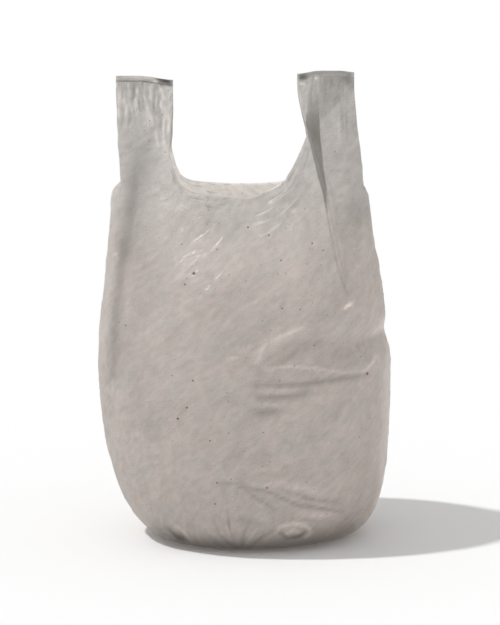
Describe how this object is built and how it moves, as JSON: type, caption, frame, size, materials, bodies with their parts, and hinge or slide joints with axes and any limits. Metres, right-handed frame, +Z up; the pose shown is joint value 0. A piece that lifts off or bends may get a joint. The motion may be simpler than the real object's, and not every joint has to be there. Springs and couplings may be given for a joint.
{
  "type": "bin liner",
  "caption": "Vest-handled bin liner of thin blown film, opened out and standing, with a U-notched mouth, side gussets and a gathered base.",
  "frame": {"origin": "middle of the foot, on the surface the liner stands on", "axes": "+Z up through the mouth, -Y out of the front panel, +X to the right of the front panel"},
  "size_m": [0.2915, 0.2807, 0.4634],
  "materials": {
    "recycled_film": "grey-beige recycled film, softly glossy, slightly see-through, with fine dark specks and small creases"
  },
  "bodies": {
    "root": {"liner_film": "recycled_film"}
  },
  "joints": []
}
